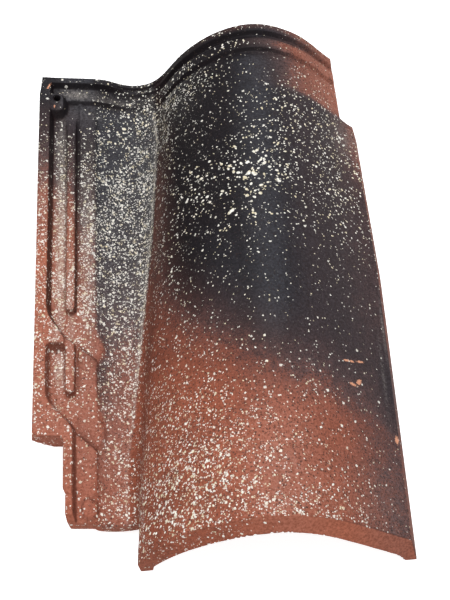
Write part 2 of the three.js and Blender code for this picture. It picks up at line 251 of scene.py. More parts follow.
def makeWorld():
    world = bpy.data.worlds.new("studioWorld")
    world.use_nodes = True
    tree = world.node_tree
    tree.nodes.clear()
    level = addNode(tree, "ShaderNodeMapRange", {
        0: seenShare(tree), 3: studio["worldLevel"], 4: 1.0})
    glow = addNode(tree, "ShaderNodeBackground", {
        "Color": (1, 1, 1, 1), "Strength": level.outputs[0]})
    addNode(tree, "ShaderNodeOutputWorld", {"Surface": glow.outputs[0]})
    scene.world = world


def makeFloor():
    material = bpy.data.materials.new("palePaper")
    material.use_nodes = True
    tree = material.node_tree
    tree.nodes.clear()
    level = maths(tree, "MULTIPLY", seenShare(tree), studio["floorGlow"])
    paper = addNode(tree, "ShaderNodeBsdfDiffuse", {"Color": (*studio["floorColour"], 1)})
    glow = addNode(tree, "ShaderNodeEmission", {"Color": (1, 1, 1, 1), "Strength": level})
    both = addNode(tree, "ShaderNodeAddShader", {0: paper.outputs[0], 1: glow.outputs[0]})
    addNode(tree, "ShaderNodeOutputMaterial", {"Surface": both.outputs[0]})

    half = studio["floorSize"] / 2
    corners = [(-half, -half, 0), (half, -half, 0), (half, half, 0), (-half, half, 0)]
    mesh = bpy.data.meshes.new("studioFloor")
    mesh.from_pydata(corners, [], [(0, 1, 2, 3)])
    mesh.materials.append(material)
    linkMesh("studioFloor", mesh)


body = {
    "weldGap": 1e-6,
    "creaseAngle": 19.0,  # degrees between faces that stay a crease
    "creaseStep": 1.0 * mm,
    "voxel": 0.8 * mm,
    "snapShare": 0.75,  # of the grid's step: how near a crease a point moves onto it
    "snapGap": 1.5 * mm,  # the same, to the nearest place along the crease
    "creaseReach": (2.5 * mm, 8.0 * mm),  # no fairing up to the first, all of it from the second
    "fairPasses": 60,
    "roundPasses": 3,
    "lockPasses": 15,  # the ribs and walls of the side lock are rounder
    "triangles": 188000,
    "lock": {  # the top of the side lock, in millimetres
        "left": -141.2,
        "right": -84,
        "tail": -188,
        "head": 228,
        "height": 18,
        "notchWidth": 26.5,
        "notchHead": -121,
    },
    "pad": {  # the mould's plain oval pad
        "centre": (-97.5 * mm, -181.5 * mm),
        "reach": (5.2 * mm, 7.6 * mm),
        "rise": 1.2 * mm,
        "above": 20 * mm,
    },
    "tear": {  # the torn lower edge at the notch: lengths in millimetres
        "y": -124.5,
        "right": -113,
        "height": 24.5,
        "bend": -128,
        "slope": 1.1,  # of the edge to the left of its bend
        "rise": 1.8,
        "lift": 0.35,  # of the rise, all along the tear
        "scale": 260.0,
    },
    "relief": {  # heights and grain sizes of the pressed surface
        "Wobble": 0.55 * mm,
        "Wobble Scale": 11.0,
        "Ripple": 0.16 * mm,
        "Ripple Scale": 75.0,
        "Rough": 0.10 * mm,
        "Rough Scale": 420.0,
    },
}


# The CAD mesh made whole, with points along its creases and the way that each crease runs.
def weldedTile():
    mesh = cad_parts["roof_tile"].data.copy()
    work = bmesh.new()
    work.from_mesh(mesh)
    bmesh.ops.remove_doubles(work, verts=work.verts, dist=body["weldGap"])
    limit = math.radians(body["creaseAngle"])
    creases = []
    for edge in work.edges:
        if len(edge.link_faces) == 2 and edge.calc_face_angle() > limit:
            start, end = (vert.co for vert in edge.verts)
            count = max(1, round((end - start).length / body["creaseStep"]))
            way = (end - start).normalized()
            creases += [(start.lerp(end, step / count), way) for step in range(count + 1)]
    work.to_mesh(mesh)
    work.free()
    mesh.materials.clear()
    return mesh, creases


# Moves points beside a crease onto it, and gives each point's gap to the nearest crease.
def snapToCreases(places, creases):
    tree = kdtree.KDTree(len(creases))
    for index, (place, way) in enumerate(creases):
        tree.insert(place, index)
    tree.balance()
    found = [tree.find(place)[1:] for place in places]
    nearest = [index for index, distance in found]
    gap = np.array([distance for index, distance in found])
    ways = np.array([way for place, way in creases])[nearest]
    off = places - np.array([place for place, way in creases])[nearest]
    off -= ways * (off * ways).sum(1)[:, None]
    close = np.linalg.norm(off, axis=1) < body["snapShare"] * body["voxel"]
    close &= gap < body["snapGap"]
    places[close] -= off[close]
    return gap


# 1 on the top of the side lock, 0 at its outer edges and away from it
def lockShare(places):
    x, y, z = places.T / mm
    lock = body["lock"]
    right, tail, head, height = (lock[name] for name in ("right", "tail", "head", "height"))
    left = lock["left"] + lock["notchWidth"] * (y < lock["notchHead"])
    across = ramp(x, left + 2, left + 6) * (1 - ramp(x, right - 6, right))
    return across * band(y, tail, tail + 6, head - 6, head) * ramp(z, height, height + 3)


# 1 at the border of the pad, less inside it
def padGap(places):
    pad = body["pad"]
    away = (places[:, :2] - np.array(pad["centre"])) / np.array(pad["reach"])
    return np.hypot(away[:, 0], away[:, 1])


def raisePad(places):
    pad = body["pad"]
    share = 1 - ramp(padGap(places), 0.88, 1.08)
    places[:, 2] += pad["rise"] * share * (places[:, 2] > pad["above"])


# Where the notch was cut from the wet clay, its lower edge is torn.
def tearEdge(places):
    x, y, z = places.T / mm
    tear = body["tear"]
    edge = tear["height"] + tear["slope"] * np.maximum(0, tear["bend"] - x)
    torn = 1 - ramp(x, tear["right"] - 4, tear["right"])
    torn *= (1 - ramp(np.abs(y - tear["y"]), 3, 6)) * (1 - ramp(z - edge, 2, 7))
    for index in np.flatnonzero(torn > 0):
        wave = noise.noise(Vector(places[index]) * tear["scale"])
        places[index, 2] += tear["rise"] * mm * torn[index] * (wave + tear["lift"])


# The surface is spread evenly, faired between creases and rounded a little everywhere.
def fairedTile():
    mesh, creases = weldedTile()
    piece = linkMesh("tileDraft", mesh)
    remesh = piece.modifiers.new("evenGrid", "REMESH")
    remesh.mode = "VOXEL"
    remesh.voxel_size = body["voxel"]
    remesh.adaptivity = 0
    mesh = finishedMesh(piece)
    places = vertexPlaces(mesh).astype(float)
    gap = snapToCreases(places, creases)
    near, far = body["creaseReach"]
    free = np.clip((gap - near) / (far - near), 0, 1)
    around = edgeEnds(mesh)
    lock = lockShare(places)
    for step in range(body["fairPasses"]):
        rounded = 1 if step < body["roundPasses"] else lock * (step < body["lockPasses"])
        share = 0.5 * np.maximum(free, rounded)[:, None]
        places += (neighbourMean(places, *around) - places) * share
    raisePad(places)
    tearEdge(places)
    movePoints(mesh, places)
    return mesh


# The pressed surface: a slow wobble from drying, drag ripples up the slope and a fine roughness.
def reliefTree():
    tree = geometryTree("clayRelief", body["relief"])
    given = addNode(tree, "NodeGroupInput").outputs
    place = addNode(tree, "GeometryNodeInputPosition").outputs[0]
    normal = addNode(tree, "GeometryNodeInputNormal").outputs[0]
    # how each wave is stretched and its detail
    waves = {"Wobble": ((1, 0.6, 1), 1.0), "Ripple": ((1, 0.12, 1), 2.0), "Rough": ((1, 1, 1), 2.0)}
    total = None
    for name, (stretch, detail) in waves.items():
        spread = vectorMaths(tree, "MULTIPLY", place, stretch)
        wave = noiseNode(tree, spread, given[name + " Scale"], detail).outputs[0]
        height = maths(tree, "MULTIPLY", maths(tree, "SUBTRACT", wave, 0.5), given[name])
        total = height if total is None else maths(tree, "ADD", total, height)
    offset = scaled(tree, normal, total)
    moved = addNode(tree, "GeometryNodeSetPosition", {
        "Geometry": given["Geometry"], "Offset": offset})
    addNode(tree, "NodeGroupOutput", {0: moved.outputs[0]})
    return tree


# No point leaves the solid's own box.
def keepInside(mesh):
    low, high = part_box("roof_tile")
    movePoints(mesh, np.clip(vertexPlaces(mesh), np.array(low), np.array(high)))


def makeTile():
    piece = linkMesh("tileRelief", fairedTile())
    print("tile: even grid of", len(piece.data.vertices), "points")
    addTree(piece, reliefTree(), body["relief"])
    piece = linkMesh("tileReduced", finishedMesh(piece))
    piece.data.calc_loop_triangles()
    reduce = piece.modifiers.new("reduce", "DECIMATE")
    reduce.ratio = min(1, body["triangles"] / len(piece.data.loop_triangles))
    mesh = finishedMesh(piece)
    keepInside(mesh)
    mesh.shade_smooth()
    mesh.name = "tile_clay"
    print("tile: reduced to", len(mesh.polygons), "faces")
    return linkMesh("tile_clay", mesh)


# Lengths are in millimetres: x runs from -141 at the rim to 141 at the foot of the roll,
# and y from -234 at the tail to 234 at the head. Shares run from 0 to 1.
firing = {
    "valley": ([-145, -100, 25, 60, 165, 200], [-70, -63.5, -50, -45, -37, -40]),  # y and x
    "smokeEdge": ([-60, 0, 40, 80, 110, 140], [-18, -59, -96, -113, -137, -168]),  # x and y
    "smokeFade": 76.0,
    "hollowReach": 12,  # smoothing passes that find hollows
}

# Soft patches on the tile: strength, centre and reach.
patches = {
    "smoke on the roll": [(0.2, (136, -105), (8, 45))],
    "smoke on the pan": [(0.22, (-91, -80), (12, 48))],
    "smoke on the lock": [(0.25, (-92, 0), (12, 50))],
    # on the tail crest: bare clay and a painted highlight
    "bare tail": [(0.6, (54, -190), (32, 58))],
    "red pan": [(0.7, (-91, -80), (14, 50))],
    "pan dust": [(0.2, (-78, -140), (200, 70))],
    "groove": [(1, (-119, 62), (400, 102))],
    "second groove": [(0.8, (-121, -62), (4, 18))],
    "ledge": [(1, (-99, 58), (400, 82))],
    "rib top": [(0.5, (-112, 0), (400, 60))],
    "lock dust": [
        (0.2, (-108, -95), (60, 110)), (0.2, (-136, 95), (8, 40)), (0.3, (-123, 165), (5, 18))],
    # on the ridge tops at the head: dust and a painted highlight
    "head dust and highlights": [
        (0.6, (-108, 219), (15, 6)), (0.4, (-74, 214), (18, 4)), (0.16, (-103, 200), (15, 12))],
    # the first, on the crest at the tail, is a painted highlight
    "roll dust and tail highlight": [
        (0.26, (54, -188), (30, 58)), (0.3, (126, 142), (12, 22)), (0.14, (120, -205), (26, 40))],
    "streaks": [
        (0.6, (137.3, -48), (0.8, 24)), (0.45, (133, -92), (0.8, 32)),
        (0.35, (-55, -195), (1.5, 26))],
    "pan slip": [(0.25, (-84, 85), (12, 26))],
    "lock slip": [(0.68, (-135, 22), (9, 110)), (0.5, (-112, 20), (14, 120))],
    "roll slip": [
        (0.16, (0, -75), (22, 22)), (0.4, (-22, 188), (26, 18)), (0.22, (-32, 158), (9, 26)),
        (0.42, (80, -220), (48, 14)), (0.08, (30, 66), (60, 50)), (0.08, (85, 110), (35, 50))],
    "flank drops": [(1.9, (90, 112), (38, 54)), (0.5, (118, 60), (24, 70))],
    "crown drops": [(1, (29, 66), (46, 45))],
    "tail drops": [(1.5, (-18, -202), (58, 44)), (0.45, (-20, -110), (45, 50))],
    "head drops": [(1.2, (-26, 190), (20, 20)), (1.0, (10, 190), (28, 10))],
    "left drops": [(0.14, (-20, 0), (26, 90)), (0.5, (-32, 158), (9, 28))],
    "pan drops": [(1, (-66, 189), (24, 9))],
    "grit": [(1, (50, -140), (90, 80))],
}

layerNames = ["top", "smoke", "bare", "dark", "slateAndSheen", "hollow", "dustAndHighlight", "slip", "grit"]


def patch(at, name):
    return sum(strength * np.exp(-((at.x - x) / reachX) ** 2 - ((at.y - y) / reachY) ** 2)
               for strength, (x, y), (reachX, reachY) in patches[name])


def storeShare(mesh, name, values):
    layer = mesh.attributes.new(name, "FLOAT", "POINT")
    layer.data.foreach_set("value", np.clip(values, 0, 1).astype(np.float32))


# how far each point lies below the surface around it
def hollowness(mesh):
    places = vertexPlaces(mesh).astype(float)
    around = edgeEnds(mesh)
    smooth = places.copy()
    for step in range(firing["hollowReach"]):
        smooth = neighbourMean(smooth, *around)
    return ((smooth - places) * vertexNormals(mesh)).sum(1) / mm


# where each point lies, and its share of each part of the tile
def surveyed(mesh):
    places = vertexPlaces(mesh)
    x, y, z = (places / mm).T
    toRight, toHead, up = vertexNormals(mesh).T
    at = SimpleNamespace(x=x, y=y, z=z, toRight=toRight, toHead=toHead, up=up)
    at.padGap = padGap(places)
    nibs = (1 - ramp(z, 18, 21)) * (1 - ramp(x, -95, -90))
    at.top = ramp(up, -0.25, 0.05) * (1 - nibs)
    at.front = ramp(-toHead, 0.45, 0.7) * ramp(-y, 205, 215)
    at.fromValley = x - np.interp(y, *firing["valley"])
    at.roll = ramp(at.fromValley, -2.0, 2.5)
    spouts = 6 * bell(y + 42, 10) + 5 * bell(y + 112, 14)
    plate = 1 - ramp(x - spouts, -95, -90)
    at.pan = (1 - plate) * (1 - at.roll)
    at.lock = plate * (1 - at.roll)
    at.hollow = hollowness(mesh)
    return at


# painted shade in the hollows and on the walls of the locks
def paintShade(mesh, at):
    x, y = at.x, at.y
    headEnd = ramp(y, 186, 196)
    rightEnd = ramp(x, 55, 112)
    at.hollow = ramp(at.hollow, 0.2, 1.1) * (1 - 0.6 * rightEnd * headEnd)
    at.hollow *= 1 - 0.8 * band(x, -112, -108, -90, -86)

    ribSides = ramp(at.toRight, 0.5, 0.85) * ramp(at.z, 15, 19) * (1 - ramp(x, -102, -98))
    ribSides *= 1 - 0.45 * ramp(-y, 0, 60)
    headSteps = ramp(-at.toHead, 0.2, 0.6) * headEnd * (1 - 0.75 * rightEnd)
    grooveEnds = 0.6 * ramp(-at.toHead, 0.3, 0.7) * (1 - ramp(x, -90, -84)) * ramp(y, -110, -105)
    firstGroove = beside(x + 107.5, 1.2, 1.8) * ramp(y, 0, 25) * (1 - headEnd)
    secondGroove = 0.7 * beside(x + 107, 0.8, 2.4) + 0.5 * beside(x + 128.5, 0.8, 2.5)
    secondGroove *= band(y, -90, -82, -48, -42)
    weirs = ramp(at.toRight + at.toHead, 0.3, 0.8) * band(x, -118, -115, -92, -88)
    weirs *= (1 - ramp(y, -30, -22)) * ramp(at.toHead, 0.08, 0.3)
    walls = np.maximum.reduce([
        0.85 * ribSides, 0.85 * headSteps, 0.85 * grooveEnds,
        0.8 * firstGroove, 0.8 * secondGroove, 0.6 * weirs])
    spillways = 0.5 * np.maximum(beside(x + y + 145, 6, 1.2), beside(x + y + 224, 1.5, 7))
    spillways *= band(x, -110, -107, -93, -89) * (y < -20)
    padRing = 0.5 * bell(at.padGap - 1.15, 0.13) * ramp(at.z, 20, 22)
    at.shaded = np.maximum.reduce([walls * (1 - at.front), spillways, padRing])
    tailLip = band(-at.toHead, 0.2, 0.4, 0.6, 0.8) * ramp(x, 60, 110) * ramp(-y, 222, 228)
    # painted shade: hollows, lock walls, spillway steps, the pad's rim and the tail's top edge
    smokeAndPaintedLight = np.maximum.reduce([0.4 * at.hollow, at.shaded, 0.7 * tailLip])
    storeShare(mesh, "hollow", smokeAndPaintedLight * at.top)


# smoke from the kiln
def paintSmoke(mesh, at):
    x, y = at.x, at.y
    onRoll = ramp(y - np.interp(x, *firing["smokeEdge"]), -firing["smokeFade"], firing["smokeFade"])
    thin = 0.20 * ramp(x, 60, 95) + 0.15 * ramp(x, 100, 135)
    onRoll = onRoll * (1 - thin) + patch(at, "smoke on the roll")
    onRoll = np.maximum(onRoll, 0.47 * ramp(x, 68, 138))
    redWidth = 24 + 32 * (1 - ramp(y, -60, 130))  # of the red strip beside the valley
    strip = 0.55 * (1 - ramp(at.fromValley / redWidth, 0, 1)) * (1 - 0.8 * ramp(y, 90, 185))
    onRoll *= 1 - strip
    shift = 16 * ramp(y, 218, 225) - 16 * bell(y - 213, 5)
    headRed = ramp(x - shift, 45, 132) * ramp(y, 160, 171)
    at.red = np.maximum(headRed, 0.5 * ramp(x, 108, 140) * ramp(y, 60, 150))
    sideEdge = ramp(at.toRight, 0.75, 0.98) * ramp(x, 120, 130)
    onRoll *= (1 - 0.97 * at.red) * (1 - (0.5 + 0.25 * ramp(y, -90, -30)) * sideEdge)
    onRoll *= 1 - 0.35 * ramp(y, 227, 231) * ramp(x, -20, 50)
    at.smokeBorder = 4 * at.roll * onRoll * (1 - onRoll)

    onPan = ramp(y, -190, 150) + patch(at, "smoke on the pan")
    shelf = ramp(x, -112, -104)
    rim = 1 - ramp(x, -131, -126)
    onLock = 0.8 * ramp(y, 22 - 42 * shelf + 24 * rim, 190 + 8 * rim) + 0.2 * ramp(y, 190, 215)
    onLock += 0.1 * shelf + patch(at, "smoke on the lock")
    smoke = (onPan * at.pan + onLock * at.lock + onRoll * at.roll) * (0.15 + 0.85 * at.top)
    storeShare(mesh, "smoke", smoke * (1 - at.front) + 0.22 * at.front * ramp(x, 90, 130))


# the clay's colour and the tone of the smoke on it, with a painted sheen along the crest and on
# flat tops and a painted highlight on the tail crest
def paintBody(mesh, at):
    x, y, roll = at.x, at.y, at.roll
    storeShare(mesh, "bare", np.maximum.reduce([
        at.front * (0.5 + 0.5 * ramp(x, 0, 75)),
        0.5 * at.red * ramp(x, 90, 115) * ramp(y, 165, 205),
        1 - at.top,
        # the tail patch is a painted highlight on the bare clay
        roll * patch(at, "bare tail"),
        0.7 * at.lock * (1 - ramp(y, 40, 110)),
    ]))

    # darker red beside the valley on the roll, more so towards the tail, on the right of the roll
    # and on the left of the front face
    flank = roll * (0.76 + 0.3 * ramp(at.fromValley, 5, 35)) * (1 - ramp(at.fromValley, 10, 85))
    flank *= 0.68 - 0.36 * ramp(-y, 20, 100)
    flank += 0.2 * roll * (1 - ramp(at.fromValley, 8, 14)) * ramp(-y, 90, 130)
    flank = flank * (1 - at.front) + 0.75 * at.front * (1 - ramp(x, -20, 65))
    storeShare(mesh, "dark", flank + roll * ramp(x, 85, 135) * 0.35 * (1 - at.red))

    # lighter blue-grey over the smoke: a painted sheen along the crest and on the flat tops, with
    # the slate tone of the smoked clay
    slateAndSheen = np.maximum.reduce([
        0.85 * bell(x - 58, 22) * band(y, -120, -50, 190, 210),
        0.45 * bell(x - 24, 25) * ramp(y, -100, -45) * (1 - 0.7 * ramp(y, -20, 50)),
        0.6 * roll * ramp(x, 40, 80) * (1 - at.red),
        at.pan * (1 - 0.7 * ramp(y, 200, 212)) * (1 - patch(at, "red pan")),
        at.lock * (0.35 + 0.5 * ramp(y, 160, 190) * ramp(x, -124, -118)),
    ])
    storeShare(mesh, "slateAndSheen", slateAndSheen * (1 - at.hollow))


# a film of slip and dust, with painted highlights on the ridge tops at the head and on the crest at
# the tail
def paintDust(mesh, at):
    x, y = at.x, at.y
    at.groove = np.maximum(bell(x + 121, 4.2) * patch(at, "groove"), patch(at, "second groove"))
    at.ledge = bell(x + 99, 6.5) * patch(at, "ledge")
    ribTop = bell(x + 112, 3) * patch(at, "rib top")
    onLock = np.maximum.reduce([0.85 * at.groove, 0.45 * at.ledge, ribTop]) + patch(at, "lock dust")
    onPan = 0.02 + patch(at, "pan dust")
    flat = np.maximum.reduce([at.lock * onLock, at.pan * onPan, patch(at, "head dust and highlights")])
    at.line = beside(at.fromValley + 0.8, 2.0, 0.7) * (1 - ramp(y, 198, 208))
    dustAndHighlight = np.maximum.reduce([
        flat * (1 - at.roll),
        at.line * (0.55 + 0.45 * ramp(y, -140, -20)),
        0.22 * beside(at.fromValley + 1, 12, 1) * at.pan * ramp(y, -120, 60),
    ])
    # on the crest at the tail this is a painted highlight
    dustAndHighlight += at.roll * (0.26 * at.red + patch(at, "roll dust and tail highlight"))
    dustAndHighlight = np.maximum(dustAndHighlight, at.roll * patch(at, "streaks"))
    storeShare(mesh, "dustAndHighlight", dustAndHighlight * at.top * (1 - at.shaded))


# slip in fine grains
def paintSlip(mesh, at):
    x, y = at.x, at.y
    onPan = (0.36 + 0.44 * ramp(y, -130, 40)) * (1 - 0.6 * ramp(y, 125, 190))
    onPan += patch(at, "pan slip")
    onPan *= 0.8 + 0.5 * ramp(at.fromValley, -32, -4)
    onLock = 0.12 + patch(at, "lock slip") + 0.9 * at.groove + 1.1 * at.ledge
    onLock *= 1 - 0.8 * ramp(y, 155, 195)
    tail = ramp(-y, 75, 175) * (0.46 - 0.36 * ramp(x, -20, 80))
    tail *= 0.4 + 0.6 * ramp(at.fromValley, 8, 55)
    onRoll = 0.035 + 0.1 * (1 - ramp(at.fromValley, 15, 70)) + tail + patch(at, "roll slip")
    onRoll *= (1 - 0.5 * ramp(y, 205, 215)) * (1 - 0.6 * ramp(x, 90, 125) * ramp(-y, 0, 60))
    onRoll += 0.25 * ramp(y, 227, 231) * ramp(x, -10, 40)
    slip = np.maximum(at.pan * onPan + at.lock * onLock + at.roll * onRoll, at.line)
    onFront = 0.04 + 0.4 * (1 - ramp(x, 0, 60)) * ramp(at.z, 14, 30)
    slip *= at.top * (1 - (1 - onFront) * at.front) * (1 - 0.9 * at.shaded)
    storeShare(mesh, "slip", slip)


# slip in drops, and the grit in the clay
def paintDrops(mesh, at):
    x, y = at.x, at.y
    flank, crown, tail = (patch(at, name) for name in ("flank drops", "crown drops", "tail drops"))
    ring = bell(y - 213.5, 4.5) * band(x, -44, -37, 10, 65)
    head = patch(at, "head drops") + 5.5 * ring
    pan = patch(at, "pan drops")
    onRoll = 0.08 - 0.04 * ramp(x, 90, 125) * ramp(-y, 0, 60)
    onRoll += flank + 0.56 * crown + tail + head + patch(at, "left drops")
    onPan = (0.3 + 0.1 * ramp(y, 130, 170)) * ramp(y, -120, 0) + 0.8 * pan
    onLock = 0.12 * ramp(y, -160, -60) + 0.5 * at.ledge + 0.3 * at.groove
    share = at.roll * onRoll + at.pan * onPan + at.lock * onLock
    share *= ramp(at.up, 0.05, 0.2) * at.top * (1 - 0.95 * at.front) * (1 - 0.7 * at.shaded)
    storeShare(mesh, "drops", share)

    onRoll = np.maximum(0.62 * ramp(crown, 0.1, 0.7), 0.26 * ramp(flank, 0.2, 0.8))
    onRoll += 0.32 * ramp(tail, 0.2, 0.9) + 0.16 * ramp(head, 0.2, 0.8) + 0.25 * ring
    onPan = 0.32 * ramp(y, 120, 180) + 0.3 * pan
    size = 0.38 + at.roll * onRoll + at.pan * onPan + at.lock * 0.15 * at.ledge
    storeShare(mesh, "dropSize", size)

    grit = 0.35 + 0.65 * np.maximum(patch(at, "grit"), at.smokeBorder)
    storeShare(mesh, "grit", grit * (1 - 0.6 * at.lock) * (1 - at.front) * at.top)


def paintTile(mesh):
    at = surveyed(mesh)
    storeShare(mesh, "top", at.top)
    for paint in (paintShade, paintSmoke, paintBody, paintDust, paintSlip, paintDrops):
        paint(mesh, at)
    print("tile: painted, in", len(layerNames), "layers and its drops")


clay = {
    "red": (0.330, 0.094, 0.051),
    "dark red": (0.130, 0.038, 0.025),
    "orange": (0.400, 0.120, 0.066),
    "haze": (0.096, 0.040, 0.034),  # thin smoke over the red
    "cool haze": (0.098, 0.066, 0.068),
    # also the colour of the painted shade in hollows and on lock walls
    "smoke": (0.0074, 0.0050, 0.0064),
    # also the colour of the painted sheen
    "slateAndSheen": (0.038, 0.038, 0.047),
    # also the colour of the painted highlights
    "dustAndHighlight": (0.29, 0.265, 0.255),
    "film": (0.68, 0.61, 0.51),
    "slip": (0.97, 0.94, 0.86),
    "old slip": (0.80, 0.71, 0.50),
    "grit": (0.030, 0.019, 0.018),
    "chip": (0.66, 0.31, 0.19),
}

# Specks: cells in a metre, then the reach and the soft edge of a speck as shares of a cell.
specks = {
    "grit": (600, 0.56, 0.1),
    "fines": (1500, 0.6, 0.2),
    "small": (700, 0.60, 0.05),
    "medium": (402, 0.56, 0.04),
}

# Scuffs and chips that show the body of the clay: centre, reach (mm) and turn (degrees).
scuffs = [
    ((106.0, -90.5), (2.5, 1.0), 12),
    ((110.0, -89.5), (1.8, 1.0), 10),
    ((116, -87), (3.6, 1.1), 24),
    ((113.5, -106), (1.7, 4.0), -20),
    ((108.8, -110), (3.0, 1.4), -8),
    ((-131, 223), (0.9, 4.4), -22),
    ((-126, 201), (1.0, 1.6), 0),
    ((137, -146), (1.6, 4.0), 0),
]


# Round specks, one in a share of the cells, each of its own size and cover.
def speckTree():
    tree = bpy.data.node_groups.new("speckLayer", "ShaderNodeTree")
    tree.interface.new_socket("Vector", in_out="INPUT", socket_type="NodeSocketVector")
    for name in ("Scale", "Density", "Size", "Softness"):
        tree.interface.new_socket(name, in_out="INPUT", socket_type="NodeSocketFloat")
    tree.interface.new_socket("Mask", in_out="OUTPUT", socket_type="NodeSocketFloat")
    given = addNode(tree, "NodeGroupInput").outputs
    cells = addNode(tree, "ShaderNodeTexVoronoi", {
        "Vector": given["Vector"], "Scale": given["Scale"]}).outputs
    random = addNode(tree, "ShaderNodeSeparateColor", {0: cells["Color"]}).outputs
    there = maths(tree, "LESS_THAN", random[0], given["Density"])
    share = maths(tree, "MULTIPLY_ADD", random[1], 0.65, 0.35)
    reach = maths(tree, "MULTIPLY", given["Size"], share)
    inside = maths(tree, "SUBTRACT", reach, cells["Distance"])
    soft = maths(tree, "DIVIDE", inside, given["Softness"], clamp=True)
    cover = maths(tree, "MULTIPLY_ADD", random[2], 0.35, 0.65)
    mask = maths(tree, "MULTIPLY", maths(tree, "MULTIPLY", there, cover), soft)
    addNode(tree, "NodeGroupOutput", {0: mask})
    return tree


# The red body and the kiln's smoke, which thins out grain by grain, with painted shade in the
# hollows, painted sheen and painted highlights.
def firedColour(tree, share, cloud, fine):
    broad = cloud(22, 3)
    grain = cloud(900, 2, 0.8)
    mottle = cloud(130, 3, 0.6)
    uneven = mapped(tree, broad, 0.35, 0.65, 0, 0.3)
    dark = maths(tree, "MULTIPLY_ADD", share["dark"], 0.75, uneven, clamp=True)
    colour = mixColour(tree, dark, clay["red"], clay["dark red"])
    # bare clay in orange, with the painted highlight on the tail crest
    colour = mixColour(tree, maths(tree, "MULTIPLY", share["bare"], 0.85), colour, clay["orange"])

    spread = maths(tree, "MULTIPLY_ADD", mottle, 0.4, maths(tree, "MULTIPLY", grain, 0.8))
    level = maths(tree, "MULTIPLY_ADD", share["smoke"], 1.1, -0.05)
    level = maths(tree, "MULTIPLY_ADD", maths(tree, "SUBTRACT", spread, 0.6), 1.3, level)
    grainy = maths(tree, "MULTIPLY", mapped(tree, level, 0.2, 0.8, 0, 1), 0.5)
    smoke = maths(tree, "MULTIPLY_ADD", share["smoke"], 0.5, grainy, clamp=True)
    # the smoke colour lightened towards blue-grey by the slate tone and the painted sheen
    slateAndSheen = maths(tree, "MULTIPLY", share["slateAndSheen"], mapped(tree, fine, 0.3, 0.7, 0.6, 1))
    smokeAndPaintedLight = mixColour(tree, slateAndSheen, clay["smoke"], clay["slateAndSheen"])
    haze = mixColour(tree, share["slateAndSheen"], clay["haze"], clay["cool haze"])
    colour = mixColour(tree, maths(tree, "MULTIPLY", smoke, 2.0, clamp=True), colour, haze)
    thick = maths(tree, "MULTIPLY_ADD", smoke, 2.0, -1.0, clamp=True)
    colour = mixColour(tree, thick, colour, smokeAndPaintedLight)
    colour = scaled(tree, colour, mapped(tree, fine, 0.3, 0.7, 0.70, 1.30))
    # painted shade: hollows and lock walls darkened towards the smoke colour
    paintedShade = maths(tree, "MULTIPLY", share["hollow"], 0.9)
    colour = mixColour(tree, paintedShade, colour, clay["smoke"])
    # dust film, with the painted highlights on the head ridges and the tail crest
    dustAndHighlight = maths(tree, "MULTIPLY", share["dustAndHighlight"], mapped(tree, fine, 0.35, 0.68, 0.2, 1))
    thickness = maths(tree, "MULTIPLY", share["dustAndHighlight"], share["dustAndHighlight"])
    veil = mixColour(tree, thickness, clay["dustAndHighlight"], clay["film"])
    return mixColour(tree, dustAndHighlight, colour, veil), smoke, grain


# Grit in the clay and slip thrown over it. Gives the colour and the mask of the slip.
def speckedColour(tree, place, share, cloud, fine, colour):
    jitter = noiseNode(tree, place, 900, 1.0).outputs["Color"]
    shift = scaled(tree, vectorMaths(tree, "SUBTRACT", jitter, (0.5, 0.5, 0.5)), 1.6 * mm)
    ragged = vectorMaths(tree, "ADD", place, shift)
    layer = speckTree()

    def specked(name, density):
        scale, size, softness = specks[name]
        return addNode(tree, "ShaderNodeGroup", {
            "Vector": ragged,
            "Density": density,
            "Scale": scale,
            "Size": size,
            "Softness": softness,
        }, node_tree=layer).outputs[0]

    grit = specked("grit", maths(tree, "MULTIPLY", share["grit"], 0.8))
    colour = mixColour(tree, maths(tree, "MULTIPLY", grit, 0.8), colour, clay["grit"])
    clump = mapped(tree, cloud(60, 2), 0.32, 0.68, 0.6, 1.4)
    thrown = maths(tree, "MULTIPLY", share["slip"], clump, clamp=True)
    fines = maths(tree, "MULTIPLY", specked("fines", thrown), 0.16)
    small = specked("small", maths(tree, "MULTIPLY", thrown, 0.78))
    medium = specked("medium", maths(tree, "MULTIPLY", thrown, 0.36))
    slip = maths(tree, "MAXIMUM", fines, maths(tree, "MAXIMUM", small, medium))
    tint = mapped(tree, fine, 0.3, 0.7, 0.82, 1.0)
    age = mapped(tree, cloud(160, 1), 0.46, 0.72, 0, 1)
    slipColour = scaled(tree, mixColour(tree, age, clay["slip"], clay["old slip"]), tint)
    return mixColour(tree, slip, colour, slipColour), slip


def scuffMask(tree, place, grain):
    nearest = None
    for (middleX, middleY), (reachX, reachY), turn in scuffs:
        local = addNode(tree, "ShaderNodeMapping", {
            "Vector": place,
            "Location": (middleX * mm, middleY * mm, 0),
            "Rotation": (0, 0, math.radians(turn)),
            "Scale": (reachX * mm, reachY * mm, 1),
        }, vector_type="TEXTURE").outputs[0]
        flat = vectorMaths(tree, "MULTIPLY", local, (1, 1, 0))
        gap = addNode(tree, "ShaderNodeVectorMath", {0: flat}, operation="LENGTH").outputs["Value"]
        nearest = gap if nearest is None else maths(tree, "MINIMUM", nearest, gap)
    torn = maths(tree, "MULTIPLY_ADD", grain, 2.4, maths(tree, "SUBTRACT", nearest, 1.0))
    return mapped(tree, torn, 0.9, 1.05, 1, 0)


